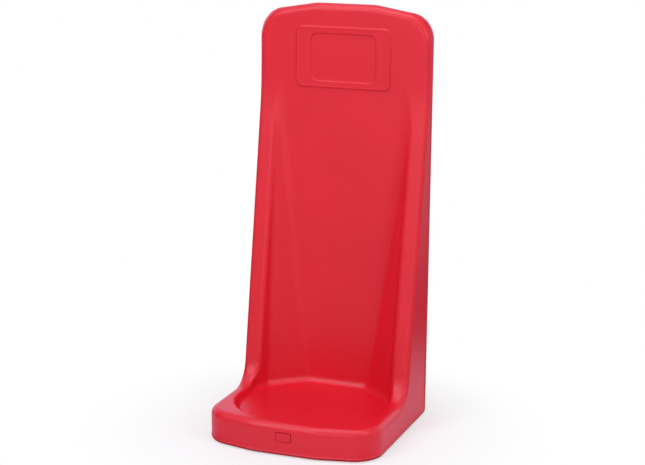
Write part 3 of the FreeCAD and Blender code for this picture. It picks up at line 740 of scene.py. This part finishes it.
def paint_seam_shadow(mat, bsdf, depth, colour, offset, side_half, foot_half):
    """A painted shadow beside the seam, as a darker line in the skin: ahead of it up the sides,
    under it at the foot.
    """
    g = Graph(mat)
    place = g.node("TexCoord").outputs["Object"]
    axes = g.node("SeparateXYZ", Vector=place).outputs

    def line(position, where, half):
        off = g.maths("SUBTRACT", position, where / MM)
        return g.map_range(g.maths("ABSOLUTE", off), span=(0.6 * half, half), to=(1.0, 0.0))

    def beyond(position, start, end):
        return g.map_range(position, span=(start / MM, end / MM), smooth=False)

    side = g.maths("MULTIPLY", line(axes["Y"], BACK - SEAM_D - offset, side_half),
                   beyond(axes["Z"], 12.0, 20.0))
    foot = g.maths("MULTIPLY", line(axes["Z"], SEAM_Z - offset, foot_half),
                   beyond(axes["Y"], BACK - 10.0, BACK - 18.0))
    amount = g.maths("MULTIPLY", g.maths("MAXIMUM", side, foot), depth)
    plain = bsdf.inputs["Base Color"].links[0].from_socket
    g.feed(bsdf.inputs["Base Color"], g.mix("RGBA", amount, plain, colour))


red, red_bsdf = plastic(
    "red_polyethylene", colour=(0.70, 0.0058, 0.0195), mottle=0.035, roughness=(0.33, 0.44),
    grain_scale=420.0, grain_depth=0.0004, bump=0.25)
red_bsdf.inputs["IOR"].default_value = 1.5
# painted shadow line beside the mould seam, darkening the red skin
paint_seam_shadow(red, red_bsdf, depth=0.45, colour=(0.16, 0.003, 0.008, 1), offset=2.6,
      side_half=0.0019, foot_half=0.0017)
# the seam bead is real relief; its paler red than the shell is a painted highlight along the seam
seam_highlight_red, _ = plastic(
    "seam_bead_painted_highlight", colour=(0.74, 0.034, 0.052), mottle=0.06, roughness=(0.42, 0.55),
    grain_scale=600.0, grain_depth=0.0004, bump=0.3)
badge_red, _ = plastic(
    "badge_red", colour=(0.69, 0.0058, 0.0195), mottle=0.035, roughness=(0.30, 0.38),
    grain_scale=420.0, grain_depth=0.0004, bump=0.2)
black, _ = plastic(
    "black_polypropylene", colour=(0.022, 0.022, 0.024), mottle=0.15, roughness=(0.38, 0.5),
    grain_scale=700.0, grain_depth=0.0003, bump=0.35)
rubber, _ = plastic(
    "black_rubber", colour=(0.016, 0.016, 0.017), mottle=0.2, roughness=(0.62, 0.78),
    grain_scale=500.0, grain_depth=0.0004, bump=0.4)
brass, brass_bsdf = plastic(
    "machined_brass", colour=(0.72, 0.46, 0.18), mottle=0.06, roughness=(0.22, 0.34),
    grain_scale=900.0, grain_depth=0.0002, bump=0.2)
brass_bsdf.inputs["Metallic"].default_value = 1.0

body.data.materials.append(red)
seam.data.materials.append(seam_highlight_red)
FINISHES = {"badge_plate": badge_red, "filler_insert": brass, "filler_seal": rubber,
            "filler_cap": black, "vent_plug": black}
for name, piece in frame["nodes"].items():
    piece.data.materials.clear()
    piece.data.materials.append(FINISHES.get(name, rubber if name.startswith("foot_") else red))
    if name != "stand_body":
        bevel = piece.modifiers.new("edge_break", "BEVEL")
        bevel.width = 0.00025
        bevel.segments = 2
        bevel.limit_method = "ANGLE"
        bevel.angle_limit = math.radians(40)

# ---------------------------------------------------------------- floor (metres from here on)
# Brightness of the paper's painted reflection, a glow seen only in reflections, by distance from
# the object
MIRROR = {"near": 0.6, "mid": 0.03, "far": 0.32}
COOL = (1, 1, 1.3, 1)  # tint of everything seen in reflections


def studio_paper():
    """Paper that fades to pure white for the camera and has its own look in reflections."""
    paper = bpy.data.materials.new("studio_paper")
    g = Graph(paper)
    g.tree.nodes.clear()
    surface = g.node("OutputMaterial")
    diffuse = g.node("BsdfDiffuse")
    glow = g.node("Emission", Strength=1.0)
    clear = g.node("BsdfTransparent")
    rays = g.node("LightPath").outputs
    geometry = g.node("NewGeometry").outputs
    position = geometry["Position"]
    fibre = g.node("TexNoise", Vector=position, Scale=38.0, Detail=2.0)
    tone = g.map_range(fibre.outputs["Fac"], to=(0.87, 0.90), smooth=False)
    g.feed(diffuse.inputs["Color"], tone)
    distance = g.node("VectorMath", position, operation="LENGTH").outputs["Value"]
    fade = g.map_range(distance, span=(0.12, 0.42), to=(0.5, 1.0))
    white = g.maths("MULTIPLY", fade, rays["Is Camera Ray"])
    lit = g.mix_shader(white, diffuse.outputs["BSDF"], glow.outputs["Emission"])

    # painted reflection: in reflections the paper glows, falling off towards the middle distance
    # and rising again
    sheen = g.node("Emission", Color=COOL)
    falling = g.map_range(distance, span=(0.35, 0.75), to=(MIRROR["near"], MIRROR["mid"]))
    rising = g.map_range(distance, span=(0.9, 1.8), to=(0.0, MIRROR["far"] - MIRROR["mid"]))
    total = g.maths("ADD", falling, rising)
    # and goes dark where the object stands: painted contact shade in reflections
    axes = g.node("SeparateXYZ", Vector=position).outputs
    gaps = [g.maths("SUBTRACT", g.maths("ABSOLUTE", axes[axis]), half / MM)
            for axis, half in (("X", HALF_W), ("Y", BACK))]
    gap = g.maths("MAXIMUM", *gaps)
    clear_of = g.map_range(gap, span=(-0.004, 0.009))
    g.feed(sheen.inputs["Strength"], g.maths("MULTIPLY", total, clear_of))

    # a little light returned to the underside, well inside the footprint only
    inside = g.map_range(gap, span=(-0.018, -0.03), to=(0.0, 0.45), smooth=False)
    returned = g.maths("MULTIPLY", inside, rays["Is Diffuse Ray"])
    below = g.node("Emission", Strength=returned).outputs["Emission"]
    lifted = g.node("AddShader", lit, below).outputs["Shader"]
    glossy = g.mix_shader(rays["Is Glossy Ray"], lifted, sheen.outputs["Emission"])
    one_sided = g.mix_shader(geometry["Backfacing"], glossy, clear.outputs["BSDF"])
    g.feed(surface.inputs["Surface"], one_sided)
    return paper


paper = studio_paper()
floor_mesh = bpy.data.meshes.new("studio_floor")
floor_mesh.from_pydata([(-9, -9, 0), (9, -9, 0), (9, 9, 0), (-9, 9, 0)], [], [(0, 1, 2, 3)])
floor = add_object("studio_floor", floor_mesh)
floor.data.materials.append(paper)

# ---------------------------------------------------------------- surroundings
# Brightness by direction, for diffuse light and for reflections
SKY = {"ambient": 0.28, "behind": 0.85, "right": 0.14}
GLINT = {"ambient": 0.0, "behind": 1.2, "ahead_low": 0.43, "ahead_high": 0.0, "right": 0.0,
         "left": 0.0, "zenith": 0.85}


def studio_world():
    """White to the camera; reflections see GLINT and all other rays see SKY."""
    world = bpy.data.worlds.new("studio")
    bpy.context.scene.world = world
    g = Graph(world)
    background = g.tree.nodes["Background"]
    direction = g.node("TexCoord").outputs["Generated"]
    axes = g.node("SeparateXYZ", Vector=direction).outputs
    x, y, z = axes["X"], axes["Y"], axes["Z"]

    def both(a, b):
        return g.maths("MULTIPLY", a, b)

    def weighted_sum(levels, masks):
        total = levels["ambient"]
        for key, mask in masks.items():
            total = g.maths("ADD", g.maths("MULTIPLY", mask, levels[key]), total)
        return total

    falling = (1.0, 0.0)
    low_sky = g.map_range(z, span=(0.25, 0.75), to=falling)
    horizon = g.map_range(z, span=(0.08, 0.35), to=falling)
    raised = both(g.map_range(z, span=(0.08, 0.35)),
                  g.map_range(z, span=(0.55, 0.85), to=falling))
    back_half = g.map_range(y, span=(0.0, 0.5))
    front_half = g.map_range(y, span=(-0.5, 0.0), to=falling)
    right_end = g.map_range(x, span=(0.45, 0.85))
    left_end = g.map_range(x, span=(-0.85, -0.45), to=falling)
    sky = weighted_sum(SKY, {
        "behind": both(low_sky, back_half),
        "right": both(low_sky, right_end),
    })
    glint = weighted_sum(GLINT, {
        "behind": both(low_sky, back_half),
        "ahead_low": both(horizon, front_half),
        "ahead_high": both(raised, front_half),
        "right": both(low_sky, right_end),
        "left": both(low_sky, left_end),
        "zenith": g.map_range(z, span=(0.55, 0.85)),
    })
    rays = g.node("LightPath").outputs
    unseen = g.mix("FLOAT", rays["Is Glossy Ray"], sky, glint)
    strength = g.mix("FLOAT", rays["Is Camera Ray"], unseen, 1.0)
    g.feed(background.inputs["Strength"], strength)
    tint = g.mix("RGBA", rays["Is Glossy Ray"], (1, 1, 1, 1), COOL)
    g.feed(background.inputs["Color"], tint)


studio_world()

# ---------------------------------------------------------------- lights
LIGHT_AIM_Z = 0.3
LIGHT_COLOUR = (1.0, 0.99, 1.1)
LIGHTS = (
    # name, compass angle from the front towards the right, height angle, distance,
    # (width, height), watts
    ("key", 24.0, 43.0, 2.6, (1.2, 1.2), 2.5),
    ("left_front", -32.0, 38.0, 2.6, (1.2, 1.4), 19.5),
    ("right", 68.0, 30.0, 2.6, (1.0, 1.6), 15.0),
    ("overhead", 0.0, 80.0, 2.2, (1.6, 1.2), 18.0),
    ("low_front", 5.0, 14.0, 3.0, (2.0, 0.9), 12.0),
)


def add_light(name, compass, height, distance, size, power):
    compass, height = math.radians(compass), math.radians(height)
    where = (
        math.sin(compass) * math.cos(height) * distance,
        -math.cos(compass) * math.cos(height) * distance,
        LIGHT_AIM_Z + math.sin(height) * distance,
    )
    data = bpy.data.lights.new(name, "AREA")
    data.shape = "RECTANGLE"
    data.size, data.size_y = size
    data.energy = power
    data.color = LIGHT_COLOUR
    light = add_object(name, data)
    light.location = where
    light.rotation_mode = "QUATERNION"
    towards = Vector((0, 0, LIGHT_AIM_Z)) - Vector(where)
    light.rotation_quaternion = towards.to_track_quat("-Z", "Y")


for row in LIGHTS:
    add_light(*row)


# ---------------------------------------------------------------- camera
def add_camera(compass, height, roll, look, distance, shift_right, shift_up, lens):
    """Camera turned from the front towards the right, its angles in degrees."""
    compass, height, roll = (math.radians(angle) for angle in (compass, height, roll))
    sin_c, cos_c = math.sin(compass), math.cos(compass)
    sin_h, cos_h = math.sin(height), math.cos(height)
    back = Vector((sin_c * cos_h, -cos_c * cos_h, sin_h))
    right = Vector((cos_c, sin_c, 0))
    up = Vector((-sin_c * sin_h, cos_c * sin_h, cos_h))
    place = look + back * distance + right * shift_right + up * shift_up
    rolled_right = right * math.cos(roll) + up * math.sin(roll)
    rolled_up = up * math.cos(roll) - right * math.sin(roll)
    data = bpy.data.cameras.new("camera")
    data.lens, data.sensor_width, data.sensor_fit = lens, 36.0, "HORIZONTAL"
    data.clip_start, data.clip_end = 0.05, 50
    camera = add_object("camera", data)
    rows = zip(rolled_right, rolled_up, back, place)
    camera.matrix_world = Matrix((*rows, (0, 0, 0, 1)))
    return camera


scene = bpy.context.scene
scene.camera = add_camera(
    compass=20.99, height=13.47, roll=0.264, look=Vector((0, BACK / MM - 0.1, 0.35)),
    distance=2.809, shift_right=-0.0053, shift_up=-0.0157, lens=93.04)
scene.view_settings.view_transform = "Standard"
scene.view_settings.look = "None"
